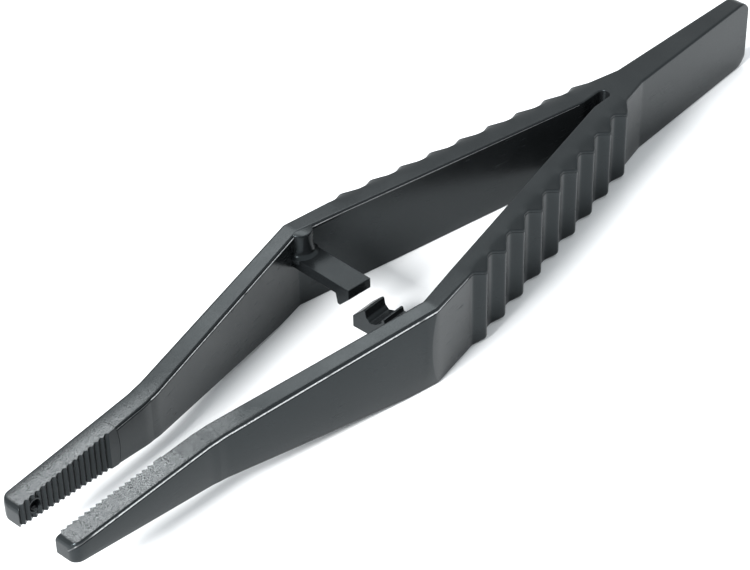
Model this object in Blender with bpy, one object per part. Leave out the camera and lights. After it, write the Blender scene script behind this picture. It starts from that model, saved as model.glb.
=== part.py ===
"""Self-locking plastic tweezers: a black moulding whose working members are kept apart at their flexures.

The tweezers lie on their side: +X points to the tips, +Z is up, and the left arm is on +Y. The origin is on the
floor under the middle of the bounding box. Stations are distances from the tail end, along X.
"""

import math

import bmesh
import bpy
from mathutils import Matrix, Vector

MM = 0.001

# Lengths along the tweezers, in order from the tail end to the tips
TAIL_LENGTH = 25.5 * MM
YOKE_LENGTH = 4.83 * MM
RIB_PITCH = 4.585 * MM
RIB_COUNT = 9
ELBOW_LENGTH = 6.7 * MM
SHANK_LENGTH = 30.7 * MM
JAW_LENGTH = 21.0 * MM

# Widths across the tweezers: openings are between the two arms, walls are one arm's
TAIL_END_WIDTH = 2.12 * MM
TAIL_ROOT_WIDTH = 3.94 * MM
CROTCH_WALL = 3.11 * MM
ELBOW_WALL = 2.57 * MM
BEND_OPENING = 19.92 * MM
BEND_WALL = 2.28 * MM
KINK_OPENING = 7.54 * MM
KINK_WALL = 2.76 * MM
TIP_OPENING = 5.79 * MM
TIP_WALL = 2.98 * MM

# Heights above the floor
TAIL_END_RISE = 0.2 * MM
TAIL_END_HEIGHT = 10.3 * MM
YOKE_HEIGHT = 10.78 * MM
BODY_HEIGHT = 11.44 * MM
KINK_RISE = 2.9 * MM
KINK_HEIGHT = 6.4 * MM
TIP_RISE = 5.45 * MM
TIP_HEIGHT = 2.8 * MM
TAIL_CORNER = 2.4 * MM
TIP_ROUND = 0.7 * MM
CROTCH_ROUND = 0.6 * MM

# Finger-grip ribs: a riser facing the tail, then a face that falls back to the line of the valleys
RIB_PEAK = 1.7 * MM
RIB_HEIGHT = 1.17 * MM
RIB_TOE = 3.5 * MM
RIB_BASE = 0.5 * MM

# Serrated pads let into the jaws
TOOTH_PITCH = 0.83 * MM
TOOTH_COUNT = 17
TOOTH_DEPTH = 0.35 * MM
TOOTH_FLANK = 0.3
PAD_MARGIN = 1.2 * MM
PAD_WALL = 1.15 * MM

# Guide peg on the left jaw and its socket in the right one
SOCKET_RADIUS = 0.92 * MM
SOCKET_SETBACK = 2.55 * MM
PEG_CLEARANCE = 0.24 * MM
PEG_REACH = 0.8 * MM

# Latch: a sprung bar on the right arm with a nose that hooks behind the ridge of the catch on the left arm
LATCH_SETBACK = 0.8 * MM
BAR_TOP = 8.1 * MM
BAR_THICKNESS = 1.5 * MM
BAR_WIDTH = 3.6 * MM
BAR_TILT = math.radians(2.8)
BAR_END_SKEW = math.radians(3.0)
BAR_SHORTFALL = 0.4 * MM
ROOT_STRIP = 0.6 * MM
NOSE_LENGTH = 2.2 * MM
NOSE_DROP = 1.46 * MM
NOSE_FLAT = 0.35 * MM
NOSE_BACK = 0.3 * MM
POST_RADIUS = 1.7 * MM
POST_FOOT_RADIUS = 2.0 * MM
POST_DEPTH = 0.4 * MM
POST_RECESS = 0.12 * MM
CATCH_WIDTH = 3.5 * MM
CATCH_OVERLAP = 0.35 * MM
CATCH_BITE = 0.86 * MM
CATCH_END_DROP = 1.73 * MM
CATCH_RAMP = 1.95 * MM
CATCH_CREST = 0.15 * MM
CREST_DROP_RUN = 0.25 * MM
GROOVE_WIDTH = 0.75 * MM
GROOVE_CLEARANCE = 0.64 * MM
STOP_RUN = 1.5 * MM
STOP_CLEARANCE = 0.45 * MM
CATCH_FLOOR = 1.9 * MM

# Joints and clearances
JOIN = 0.3 * MM
HINGE_SETBACK = 2.2 * MM
KNUCKLE_LENGTH = 2.7 * MM
ROUND_SIDES = 24
SMOOTH_ANGLE = math.radians(35)
TOUCH = 1e-7
LEFT = 1
RIGHT = -1

# Stations, from the tail end
YOKE = TAIL_LENGTH
RIBS = YOKE + YOKE_LENGTH
ELBOW = RIBS + RIB_COUNT * RIB_PITCH
BEND = ELBOW + ELBOW_LENGTH
KINK = BEND + SHANK_LENGTH
TIP = KINK + JAW_LENGTH
ARM_ROOT = RIBS + RIB_PITCH
ARM_HINGE = RIBS + HINGE_SETBACK
SHANK_ROOT = BEND + KNUCKLE_LENGTH
TEETH = TIP - TOOTH_COUNT * TOOTH_PITCH
PAD = TEETH - PAD_MARGIN
LATCH = BEND - LATCH_SETBACK

# Heights of the latch, from its bar down to its catch
BAR_UNDERSIDE = BAR_TOP - BAR_THICKNESS
NOSE_TIP = BAR_UNDERSIDE - NOSE_DROP
CATCH_TOP = NOSE_TIP + CATCH_BITE
GROOVE_FLOOR = NOSE_TIP - GROOVE_CLEARANCE
STOP_TOP = BAR_UNDERSIDE - STOP_CLEARANCE
CATCH_UNDERSIDE = GROOVE_FLOOR - CATCH_FLOOR

BLACKS = {
    "satin_black": ((0.018, 0.018, 0.02), 0.38),
    "matte_black": ((0.022, 0.022, 0.023), 0.55),
    "spark_black": ((0.03, 0.03, 0.032), 0.5),
}


def through(*points):
    """The value at a station, on straight lines through (station, value) points."""

    def value(station):
        for (s0, v0), (s1, v1) in zip(points, points[1:]):
            if station <= s1:
                break
        return v0 + (v1 - v0) * (station - s0) / (s1 - s0)

    return value


inner = through(
    (RIBS, 0.0),
    (BEND, BEND_OPENING / 2),
    (KINK, KINK_OPENING / 2),
    (TIP, TIP_OPENING / 2),
)
outer = through(
    (0.0, TAIL_END_WIDTH / 2),
    (YOKE, TAIL_ROOT_WIDTH / 2),
    (RIBS, CROTCH_WALL),
    (ELBOW, inner(ELBOW) + ELBOW_WALL),
    (BEND, BEND_OPENING / 2 + BEND_WALL),
    (KINK, KINK_OPENING / 2 + KINK_WALL),
    (TIP, TIP_OPENING / 2 + TIP_WALL),
)
top = through(
    (0.0, TAIL_END_RISE + TAIL_END_HEIGHT),
    (YOKE, YOKE_HEIGHT),
    (ELBOW, BODY_HEIGHT),
    (BEND, BODY_HEIGHT),
    (KINK, KINK_RISE + KINK_HEIGHT),
    (TIP, TIP_RISE + TIP_HEIGHT),
)
bottom = through(
    (0.0, TAIL_END_RISE),
    (YOKE, 0.0),
    (BEND, 0.0),
    (KINK, KINK_RISE),
    (TIP, TIP_RISE),
)


def at(station):
    """The X of a station."""
    return station - TIP / 2


def clear_scene():
    for thing in list(bpy.data.objects):
        bpy.data.objects.remove(thing, do_unlink=True)


def black(name):
    """The plastic in one of its finishes."""
    found = bpy.data.materials.get(name)
    if found:
        return found
    colour, roughness = BLACKS[name]
    made = bpy.data.materials.new(name)
    made.use_nodes = True
    shader = made.node_tree.nodes["Principled BSDF"]
    shader.inputs["Base Color"].default_value = (*colour, 1.0)
    shader.inputs["Roughness"].default_value = roughness
    shader.inputs["Metallic"].default_value = 0.0
    return made


def node(name, bm, finish, axis=None, smooth=False):
    """Turns a bmesh into a named piece, parented to its joint's axis."""
    bmesh.ops.recalc_face_normals(bm, faces=bm.faces)
    mesh = bpy.data.meshes.new(name)
    bm.to_mesh(mesh)
    bm.free()
    if smooth:
        mesh.shade_smooth()
        mesh.set_sharp_from_angle(angle=SMOOTH_ANGLE)
    mesh.materials.append(black(finish))
    piece = bpy.data.objects.new(name, mesh)
    bpy.context.scene.collection.objects.link(piece)
    if axis:
        piece.parent = axis
        piece.matrix_parent_inverse = Matrix.Translation(-world_place(axis))
    return piece


def world_place(thing):
    """The world location of an unturned empty under unturned parents."""
    place = Vector(thing.location)
    while thing.parent:
        thing = thing.parent
        place += thing.location
    return place


def joint_axis(name, place, parent=None):
    """An empty on a joint's axis."""
    empty = bpy.data.objects.new(name, None)
    empty.empty_display_size = 5 * MM
    bpy.context.scene.collection.objects.link(empty)
    empty.parent = parent
    empty.location = Vector(place) - (world_place(parent) if parent else Vector())
    return empty


def extruded(outline, shift):
    """A prism: a closed outline of points, extruded by a vector."""
    bm = bmesh.new()
    face = bm.faces.new([bm.verts.new(p) for p in outline])
    grown = bmesh.ops.extrude_face_region(bm, geom=[face])["geom"]
    moved = [v for v in grown if isinstance(v, bmesh.types.BMVert)]
    bmesh.ops.translate(bm, verts=moved, vec=shift)
    return bm


def cut(bm, point, normal):
    """Takes away what lies beyond a plane and closes the face that it leaves."""
    bmesh.ops.bisect_plane(
        bm,
        geom=list(bm.verts) + list(bm.edges) + list(bm.faces),
        dist=TOUCH,
        plane_co=point,
        plane_no=normal,
        clear_outer=True,
    )
    rim = [edge for edge in bm.edges if edge.is_boundary]
    if rim:
        bmesh.ops.holes_fill(bm, edges=rim, sides=0)


def slope_normal(line, start, end):
    """The upward normal of a side-view line between two stations."""
    return Vector((line(start) - line(end), 0.0, end - start)).normalized()


def upright(side, plan, spans):
    """A member of an arm: its plan outline of (station, distance from the middle), extruded upwards and trimmed to
    the side view over each span of stations."""
    outline = [(at(s), side * y, -BODY_HEIGHT) for s, y in plan]
    bm = extruded(outline, (0.0, 0.0, 3 * BODY_HEIGHT))
    for start, end in spans:
        cut(bm, (at(start), 0.0, top(start)), slope_normal(top, start, end))
        cut(bm, (at(start), 0.0, bottom(start)), -slope_normal(bottom, start, end))
    return bm


def ribs(first, last):
    """Points of the finger grip's outside, from rib number first to rib number last, towards the tips."""
    points = []
    for number in range(first, last):
        valley = RIBS + number * RIB_PITCH
        peak, toe = valley + RIB_PEAK, valley + RIB_TOE
        points += [(valley, outer(valley)), (peak, outer(peak) + RIB_HEIGHT), (toe, outer(toe))]
    end = RIBS + last * RIB_PITCH
    return points + [(end, outer(end))]


def arc(centre, radius, start, end, steps):
    """Points round an arc, angles in degrees."""
    turns = (math.radians(start + (end - start) * n / steps) for n in range(steps + 1))
    return [
        (centre[0] + radius * math.cos(t), centre[1] + radius * math.sin(t))
        for t in turns
    ]


def make_tail_blade():
    """The flat blade behind the yoke, thinning to a round-cornered end."""
    r, root = TAIL_CORNER, YOKE - JOIN / 2
    side_view = (
        [(root, bottom(root))]
        + [(root, top(root))]
        + arc((r, top(0.0) - r), r, 90, 180, 6)
        + arc((r, bottom(0.0) + r), r, 180, 270, 6)
    )
    outline = [(at(s), -TAIL_ROOT_WIDTH, z) for s, z in side_view]
    bm = extruded(outline, (0.0, 2 * TAIL_ROOT_WIDTH, 0.0))
    for side in (LEFT, RIGHT):
        taper = outer(YOKE) - outer(0.0)
        cut(bm, (at(0.0), side * outer(0.0), 0.0), (-taper, side * TAIL_LENGTH, 0.0))
    node("tail_blade", bm, "matte_black")


def make_yoke():
    """The junction block: it widens from the blade, carries the last rib of each grip and ends in two prongs."""
    half = [(YOKE + JOIN / 2, outer(YOKE + JOIN / 2))] + ribs(0, 1)
    start, end = RIBS + CROTCH_ROUND, ARM_ROOT
    prong = [(end, inner(end)), (start, inner(start))]
    notch = arc((start, 0.0), inner(start), 120, 180, 3)
    near = half + prong + notch[:-1]
    far = [(s, -y) for s, y in reversed(near)]
    bm = upright(LEFT, near + notch[-1:] + far, [(YOKE, ELBOW)])
    cut(bm, (at(ARM_ROOT - JOIN / 2), 0.0, 0.0), (1.0, 0.0, 0.0))
    return node("yoke", bm, "matte_black")


def make_arm_spring(label, side, axis):
    """The inside of the grip: the plain wall that bends when the arm is pressed."""
    start, end = ARM_ROOT + JOIN / 2, ELBOW - JOIN / 2
    back = RIB_BASE + JOIN
    plan = [
        (start, inner(start)),
        (end, inner(end)),
        (end, outer(end) - back),
        (start, outer(start) - back),
    ]
    node(f"{label}_arm_spring", upright(side, plan, [(YOKE, ELBOW)]), "satin_black", axis)


def make_finger_grip(label, side, axis):
    """The ribbed strip on the outside of the grip."""
    plan = ribs(1, RIB_COUNT)
    plan += [(s, y - RIB_BASE) for s, y in (plan[-1], plan[0])]
    bm = upright(side, plan, [(YOKE, ELBOW)])
    cut(bm, (at(ARM_ROOT + JOIN / 2), 0.0, 0.0), (-1.0, 0.0, 0.0))
    cut(bm, (at(ELBOW - JOIN / 2), 0.0, 0.0), (1.0, 0.0, 0.0))
    node(f"{label}_finger_grip", bm, "matte_black", axis)


def make_elbow(label, side, axis):
    """The smooth knuckle where the arm turns in towards the tips."""
    start, end = ELBOW + JOIN / 2, SHANK_ROOT - JOIN / 2
    stations = (start, BEND, end)
    plan = [(s, inner(s)) for s in stations]
    plan += [(s, outer(s)) for s in reversed(stations)]
    bm = upright(side, plan, [(ELBOW, BEND), (BEND, KINK)])
    node(f"{label}_elbow", bm, "satin_black", axis)


def make_shank(label, side, axis):
    """The wall that tapers from the elbow to the jaw."""
    start, end = SHANK_ROOT + JOIN / 2, KINK - JOIN / 2
    plan = [(start, inner(start)), (end, inner(end)), (end, outer(end)), (start, outer(start))]
    node(f"{label}_shank", upright(side, plan, [(BEND, KINK)]), "satin_black", axis)


def round_tip(bm):
    """Rounds the edges of the end face that don't touch the pad."""
    end = [e for e in bm.edges if all(v.co.x > at(TIP) - TOUCH for v in e.verts)]
    inside = min(abs(v.co.y) for e in end for v in e.verts)
    free = [e for e in end if any(abs(v.co.y) > inside + TOUCH for v in e.verts)]
    bmesh.ops.bevel(
        bm,
        geom=free,
        offset=TIP_ROUND,
        segments=3,
        affect="EDGES",
        profile=0.5,
        material=-1,
    )


def make_jaw(label, side, axis):
    """The jaw's body, stepped back to take the serrated pad."""
    start, step = KINK + JOIN / 2, PAD - JOIN / 2
    seat = PAD_WALL + JOIN
    plan = [
        (start, inner(start)),
        (step, inner(step)),
        (step, inner(step) + seat),
        (TIP, inner(TIP) + seat),
        (TIP, outer(TIP)),
        (start, outer(start)),
    ]
    bm = upright(side, plan, [(KINK, TIP)])
    round_tip(bm)
    node(f"{label}_jaw", bm, "spark_black", axis)


def teeth():
    """Points of the serrated face, towards the tips: each tooth has a steep flank and a long one."""
    points = [(PAD + JOIN / 2, inner(PAD + JOIN / 2)), (TEETH, inner(TEETH))]
    for number in range(TOOTH_COUNT):
        start = TEETH + number * TOOTH_PITCH
        root = start + TOOTH_FLANK * TOOTH_PITCH
        crest = start + TOOTH_PITCH
        points.append((root, inner(root) + TOOTH_DEPTH))
        points.append((crest, inner(crest)))
    return points


def make_tooth_pad(label, side, axis):
    """The serrated pad, with the hole that the guide peg stands in or enters."""
    plan = teeth()
    plan += [(s, inner(s) + PAD_WALL) for s in (TIP, PAD + JOIN / 2)]
    pad = node(f"{label}_tooth_pad", upright(side, plan, [(KINK, TIP)]), "spark_black", axis)
    middle = socket_centre(side)
    cutter = node(f"{label}_socket_cutter", peg(SOCKET_RADIUS, 4 * PAD_WALL), "spark_black")
    cutter.location = middle
    cutter.hide_render = True
    cutter.display_type = "WIRE"
    hole = pad.modifiers.new("socket", "BOOLEAN")
    hole.operation = "DIFFERENCE"
    hole.solver = "EXACT"
    hole.object = cutter


def socket_centre(side):
    """The middle of the socket, halfway through the pad and halfway up the jaw."""
    station = TIP - SOCKET_SETBACK
    height = (top(station) + bottom(station)) / 2
    return Vector((at(station), side * (inner(station) + PAD_WALL / 2), height))


def peg(radius, length):
    """A round peg along Y, centred on the origin."""
    bm = bmesh.new()
    bmesh.ops.create_cone(
        bm,
        cap_ends=True,
        segments=ROUND_SIDES,
        radius1=radius,
        radius2=radius,
        depth=length,
        matrix=Matrix.Rotation(math.radians(90), 4, "X"),
    )
    return bm


def make_guide_peg(axis):
    """The peg that lines the jaws up. It stands through the left pad and reaches past its teeth."""
    station = TIP - SOCKET_SETBACK
    root, end = inner(station) + PAD_WALL, inner(station) - PEG_REACH
    bm = peg(SOCKET_RADIUS - PEG_CLEARANCE, root - end)
    middle = socket_centre(LEFT)
    bmesh.ops.translate(bm, verts=bm.verts, vec=(middle.x, (root + end) / 2, middle.z))
    node("guide_peg", bm, "spark_black", axis, smooth=True)


def clear_of_arm(bm, side):
    """Cuts a piece back from the two inner faces that meet at the elbow, with the usual gap."""
    for start, end in ((RIBS, BEND), (BEND, KINK)):
        run, rise = end - start, inner(end) - inner(start)
        normal = Vector((-rise, side * run, 0.0)).normalized()
        face = Vector((at(BEND), side * inner(BEND), 0.0))
        cut(bm, face - normal * JOIN, normal)


def post_place():
    """The post's axis, sunk a little into the right elbow."""
    return at(LATCH), RIGHT * (inner(LATCH) + POST_DEPTH)


def bar_y(distance):
    """The Y of a point in front of the post's foot, towards the middle."""
    return post_place()[1] + POST_FOOT_RADIUS + distance


def latch_hinge():
    """A point on the line that the sprung bar bends about, at mid thickness in its root strip."""
    return Vector((at(LATCH), bar_y(JOIN + ROOT_STRIP / 2), BAR_TOP - BAR_THICKNESS / 2))


def turned(bm, angle, about):
    """Turns a shape about a vertical line."""
    bmesh.ops.rotate(
        bm, verts=bm.verts, cent=about, matrix=Matrix.Rotation(angle, 3, "Z")
    )
    return bm


def bar_piece(start, end):
    """A stretch of the sprung bar between two Y positions, tilted as the bar is."""
    half = BAR_WIDTH / 2
    corners = [(-half, start), (half, start), (half, end), (-half, end)]
    outline = [(at(LATCH) + x, y, BAR_UNDERSIDE) for x, y in corners]
    bm = extruded(outline, (0.0, 0.0, BAR_THICKNESS))
    return turned(bm, -BAR_TILT, latch_hinge())


def make_latch_seat(axis):
    """The fixed end of the bar, under the post."""
    bm = bar_piece(post_place()[1] - POST_RADIUS, bar_y(0.0))
    clear_of_arm(bm, RIGHT)
    node("latch_seat", bm, "satin_black", axis)


def make_latch_post(axis):
    """The half-round boss above the bar, against the elbow."""
    low, high = BAR_TOP + JOIN, top(LATCH) - POST_RECESS
    bm = bmesh.new()
    bmesh.ops.create_cone(
        bm,
        cap_ends=True,
        segments=ROUND_SIDES,
        radius1=POST_FOOT_RADIUS,
        radius2=POST_RADIUS,
        depth=high - low,
        matrix=Matrix.Translation((*post_place(), (low + high) / 2)),
    )
    clear_of_arm(bm, RIGHT)
    node("latch_post", bm, "satin_black", axis, smooth=True)


def bar_stations():
    """The Y positions of the sprung bar's joins: its root strip's two ends, the bar's root, and the nose's root
    and end."""
    strip = bar_y(JOIN)
    end = -BAR_SHORTFALL
    return strip, strip + ROOT_STRIP, strip + ROOT_STRIP + JOIN, end - NOSE_LENGTH, end


def make_latch_nose(axis):
    """The hook at the bar's free end: a flat end, a lead-in slope, a blunt tip and a steep back."""
    root, end = bar_stations()[-2:]
    slope = NOSE_LENGTH - NOSE_FLAT - NOSE_BACK
    profile = [
        (root, BAR_TOP),
        (root, BAR_UNDERSIDE),
        (root + NOSE_BACK, NOSE_TIP),
        (root + NOSE_BACK + NOSE_FLAT, NOSE_TIP),
        (end, NOSE_TIP + slope),
        (end, BAR_TOP),
    ]
    outline = [(at(LATCH) - BAR_WIDTH / 2, y, z) for y, z in profile]
    bm = extruded(outline, (BAR_WIDTH, 0.0, 0.0))
    shear = Matrix.Identity(4)
    shear[1][0] = -math.tan(BAR_END_SKEW)
    about = Matrix.Translation((at(LATCH), 0.0, 0.0))
    bmesh.ops.transform(bm, matrix=about @ shear @ about.inverted(), verts=bm.verts)
    turned(bm, -BAR_TILT, latch_hinge())
    node("latch_nose", bm, "satin_black", axis)


def make_latch_bar(axis):
    """The sprung bar, from its root strip to the nose. Its end is skewed to match the nose's root."""
    start, root = bar_stations()[2:4]
    bm = bar_piece(start, root)
    turned(bm, BAR_TILT, latch_hinge())
    skew = math.tan(BAR_END_SKEW)
    cut(bm, (at(LATCH), root - JOIN, 0.0), (skew, 1.0, 0.0))
    turned(bm, -BAR_TILT, latch_hinge())
    node("latch_bar", bm, "satin_black", axis)


def make_catch_bar(axis):
    """The catch on the left arm: an end ramp, a crest, a groove for the nose and a stop ridge."""
    end = -CATCH_OVERLAP
    crest = end + CATCH_RAMP
    groove = crest + CATCH_CREST + CREST_DROP_RUN
    rise = groove + GROOVE_WIDTH
    root = inner(BEND)
    profile = [
        (end, CATCH_UNDERSIDE),
        (end, CATCH_TOP - CATCH_END_DROP),
        (crest - CATCH_CREST, CATCH_TOP),
        (crest + CATCH_CREST, CATCH_TOP),
        (groove, GROOVE_FLOOR),
        (rise, GROOVE_FLOOR),
        (rise + STOP_RUN, STOP_TOP),
        (root, STOP_TOP),
        (root, CATCH_UNDERSIDE),
    ]
    outline = [(at(LATCH) - CATCH_WIDTH / 2, y, z) for y, z in profile]
    bm = extruded(outline, (CATCH_WIDTH, 0.0, 0.0))
    clear_of_arm(bm, LEFT)
    node("catch_bar", bm, "satin_black", axis)


def make_arm(label, side, root):
    """One arm with its two flexure axes. Returns the axes."""
    middle = (inner(ARM_HINGE) + outer(ARM_HINGE)) / 2
    arm = joint_axis(f"{label}_arm_axis", (at(ARM_HINGE), side * middle, 0.0), root)
    middle = (inner(SHANK_ROOT) + outer(SHANK_ROOT)) / 2
    shank = joint_axis(f"{label}_shank_axis", (at(SHANK_ROOT), side * middle, 0.0), arm)
    make_arm_spring(label, side, arm)
    make_finger_grip(label, side, arm)
    make_elbow(label, side, arm)
    make_shank(label, side, shank)
    make_jaw(label, side, shank)
    make_tooth_pad(label, side, shank)
    return arm, shank


def make_latch(arm):
    """The latch on the right arm: fixed seat and post, then the sprung bar."""
    make_latch_seat(arm)
    make_latch_post(arm)
    hook = joint_axis("latch_axis", latch_hinge(), arm)
    strip_start, strip_end = bar_stations()[:2]
    node("latch_root", bar_piece(strip_start, strip_end), "satin_black", hook)
    make_latch_bar(hook)
    make_latch_nose(hook)


def main():
    clear_scene()
    make_tail_blade()
    make_yoke()
    left_arm, left_shank = make_arm("left", LEFT, None)
    right_arm, _ = make_arm("right", RIGHT, None)
    make_guide_peg(left_shank)
    make_catch_bar(left_arm)
    make_latch(right_arm)


main()
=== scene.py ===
"""Black plastic self-locking tweezers, seen on a pale table in soft studio light.

Lengths are in millimetres until a piece is finished, and metres after that. A station is a
distance from the tail end, along X; widths are distances from the middle of the tweezers.
"""

import math

import bmesh
import bpy
from mathutils import Matrix, Vector


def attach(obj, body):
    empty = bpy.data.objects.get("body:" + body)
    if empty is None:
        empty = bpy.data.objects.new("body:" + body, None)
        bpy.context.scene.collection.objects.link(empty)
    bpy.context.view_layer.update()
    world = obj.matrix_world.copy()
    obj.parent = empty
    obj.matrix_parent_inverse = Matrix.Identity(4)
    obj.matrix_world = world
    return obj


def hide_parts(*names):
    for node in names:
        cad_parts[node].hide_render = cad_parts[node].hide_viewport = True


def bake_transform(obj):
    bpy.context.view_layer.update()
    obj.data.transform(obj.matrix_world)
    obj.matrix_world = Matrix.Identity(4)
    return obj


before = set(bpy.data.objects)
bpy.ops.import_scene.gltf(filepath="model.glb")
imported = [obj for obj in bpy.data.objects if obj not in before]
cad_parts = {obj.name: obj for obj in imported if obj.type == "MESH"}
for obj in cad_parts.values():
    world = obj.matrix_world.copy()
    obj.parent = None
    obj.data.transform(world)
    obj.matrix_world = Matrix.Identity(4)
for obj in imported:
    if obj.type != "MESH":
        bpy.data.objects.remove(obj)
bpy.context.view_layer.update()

MM = 0.001
LEFT, RIGHT = 1, -1

# Stations
YOKE = 25.5
RIBS = 30.33
ELBOW = 71.595
BEND = 78.295
LATCH = 77.495
KINK = 108.995
PAD = 114.69
TEETH = 115.885
TIP = 129.995

# Ribs. RIB_PEAK, RIB_TOE and the slices in RIB_STEPS are measured from the valley before a rib
RIB_PITCH = 4.585
RIB_PEAK = 1.7
RIB_TOE = 3.5
RIB_HEIGHT = 1.17
RIB_DIP = 0.55
RIB_ROUND = 0.26
RIB_FOLD = 0.22
RIB_COUNT = 9
FIRST_VALLEY = RIBS + RIB_PITCH
RIB_STEPS = (0.1, 0.24, 0.6, 1.0, 1.4, 1.5, 1.6, 1.7, 1.8, 1.9, 2.05, 2.5)
RIB_STEPS += (3.0, 3.25, 3.4, 3.5, 3.6, 3.75, 4.1, 4.35, 4.48)

# The blunt end of the slot between the prongs. Its edges have their full radius where it is
# SLOT_FULL wide on each side of the middle
CROTCH = RIBS + 0.1
CROTCH_BLUNT = 0.6
CROTCH_HALF = 0.8
SLOT_FULL = 0.3

# Fillets and edge radii
TAIL_CORNER = 2.4
TAIL_END_ROUND = 0.4
TAIL_EDGE = 0.3
TAIL_FOLD = 0.4
KINK_EASE = 2.4
EDGE = 0.28
INNER_EDGE = 0.22
RIB_EDGE = 0.18
RIB_FOOT = 0.95
TOOTH_EDGE = 0.06
TIP_TOP_ROUND = 1.0
TIP_LOW_ROUND = 0.2
TIP_OUT_ROUND = 1.15
ARC_STEPS = 5

# How far slices stand from a corner to hold it tight, and points from the corners of a face
CREASE = 0.12
SUPPORT = 0.5
MARGIN = 0.15
MARGIN_SHARE = 0.1

# The outside of the shank meets the elbow along a bow: how far it is drawn along X, and how
# far outwards for each millimetre of that
ELBOW_BOW = 1.25
OUTER_SLANT = 0.164

# Parting line along the top edges, fading in before the ribs
PARTING_FADE = 0.5
RIDGE = 0.06
RIDGE_WIDTH = 0.12
LOW_RIDGE = 0.6
GROOVE = 0.06
GROOVE_WIDTH = 0.2
GROOVE_SUPPORT = 0.12
FLANK_STEPS = 8

# The strips of a section that carry the parting flash and its painted highlight
OUTER_FLASH_HIGHLIGHT = (14, 15)
INNER_FLASH_HIGHLIGHT = (54, 55)

# Serrations. The flank is a share of the pitch
TOOTH_PITCH = 0.83
TOOTH_COUNT = 17
TOOTH_DEPTH = 0.32
TOOTH_FLANK = 0.3
TOOTH_CREASE = 0.03
PAD_WALL = 1.15
SEAM_BOW = 0.35
SEAM_GAP = 0.06

# Socket and peg
SOCKET_STATION = 127.45
SOCKET_HEIGHT = 6.75
SOCKET_RADIUS = 0.85
SOCKET_DRILL = 2.0
SOCKET_SIDES = 40
RIM_WALL = 0.16
RIM_TOP = -0.12
RIM_FOOT = -0.75
PEG_RADIUS = 0.68
PEG_REACH = 0.8
PEG_FOOT = -1.0
PEG_SIDES = 32

# Latch. Bar stations run across the tweezers, along Y
BAR_TOP = 8.1
BAR_THICKNESS = 1.5
BAR_WIDTH = 3.6
BAR_TILT = math.radians(2.8)
BAR_ROOT = -10.6
BAR_HINGE = -7.6
BAR_END = -0.4
BAR_BEVEL = 0.09
BAR_CUT = 0.15
NOSE_SKEW = math.radians(3)
CATCH_WIDTH = 3.5
CATCH_BEVEL = 0.07
POST_Y = -10.2
POST_TOP = 11.4
POST_RADIUS = 1.58
POST_FOOT = 7.6
POST_SETBACK = 0.3
POST_SIDES = 64

# Where the members would bend: from and to these stations, on a line at this height. Nothing
# here bends them; the latch bar is only cut through along its zone
ARM_BEND = (33.2, 47.0)
SHANK_BEND = (79.4, 95.0)
BAR_BEND = (-8.6, -6.6)
MEMBER_MIDDLE = 5.5

# Angles between faces, in degrees, from which an edge is shaded sharp
SHARP = 35.0
SHARP_TOOTH = 25.0
SHARP_LATCH = 12.0

# Tolerances for merging and comparing
SAME_POINT = 0.0005
WELD = 0.002
ON_PLANE = 1e-5
ON_MIDDLE = 1e-4
MIRROR_WELD = 0.001
NUDGE = 1e-9


def through(*points):
    """The value at a station, on straight lines through (station, value) points."""

    def value(s):
        for (s0, v0), (s1, v1) in zip(points, points[1:]):
            if s <= s1:
                break
        return v0 + (v1 - v0) * (s - s0) / (s1 - s0)

    return value


def eased(line, corner, reach):
    """The same line with one corner rounded off over a reach each way."""

    def value(s):
        width = max(0.0, reach - abs(s - corner))
        return sum(line(s + width * k / 3) for k in range(-3, 4)) / 7

    return value


# The outline of the left arm; the right one mirrors it
inner_line = eased(
    through((RIBS, 0.0), (BEND, 9.96), (KINK, 3.77), (TIP, 2.895)), KINK, KINK_EASE
)
outer_line = eased(
    through(
        (0.0, 1.18),
        (YOKE, 2.08),
        (RIBS, 3.11),
        (ELBOW, 11.138),
        (BEND, 12.24),
        (KINK, 6.53),
        (TIP, 5.875),
    ),
    KINK,
    KINK_EASE,
)
top_line = eased(
    through(
        (0.0, 10.5),
        (YOKE, 10.78),
        (ELBOW, 11.44),
        (BEND, 11.44),
        (KINK, 9.3),
        (TIP, 8.25),
    ),
    KINK,
    KINK_EASE,
)
bottom_line = eased(
    through((0.0, 0.0), (BEND + 4.0, 0.0), (KINK, 2.8), (TIP, 5.32)), KINK, KINK_EASE
)


def at(station):
    """The X of a station."""
    return station - TIP / 2


def sharp_rib(s):
    """How high an unrounded rib stands: 0 on the line of the valleys, 1 at the peak."""
    if not RIBS <= s <= ELBOW:
        return 0.0
    along = (s - RIBS + NUDGE) % RIB_PITCH
    return min(along / RIB_PEAK, max(0.0, (RIB_TOE - along) / (RIB_TOE - RIB_PEAK)))


def rib_share(s):
    """The same with its corners rounded."""
    return sum(sharp_rib(s + RIB_ROUND * k / 2) for k in range(-2, 3)) / 5


def rib_line(s):
    """The outside of the finger grip."""
    return outer_line(s) + RIB_HEIGHT * rib_share(s)


def rib_foot(s):
    """The radius under a rib: largest at its peak."""
    return EDGE + (RIB_FOOT - EDGE) * rib_share(s)


def rib_fold(s):
    """Where the top of the grip starts to fall towards a rib's peak."""
    return outer_line(s) - RIB_FOLD


def crotch_line(s):
    """The inside of the prongs: shut up to the crotch, with a blunt round end."""
    if s <= CROTCH:
        return 0.0
    if s < CROTCH + CROTCH_BLUNT:
        return CROTCH_HALF * math.sqrt(1 - (1 - (s - CROTCH) / CROTCH_BLUNT) ** 2)
    return max(inner_line(s), CROTCH_HALF)


def corner(centre_y, centre_z, radius_y, radius_z, start):
    """Points on a quarter turn, clockwise from a start angle."""
    turns = (math.radians(start - 90 * n / ARC_STEPS) for n in range(ARC_STEPS + 1))
    return [
        (centre_y + radius_y * math.cos(t), centre_z + radius_z * math.sin(t)) for t in turns
    ]


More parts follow.
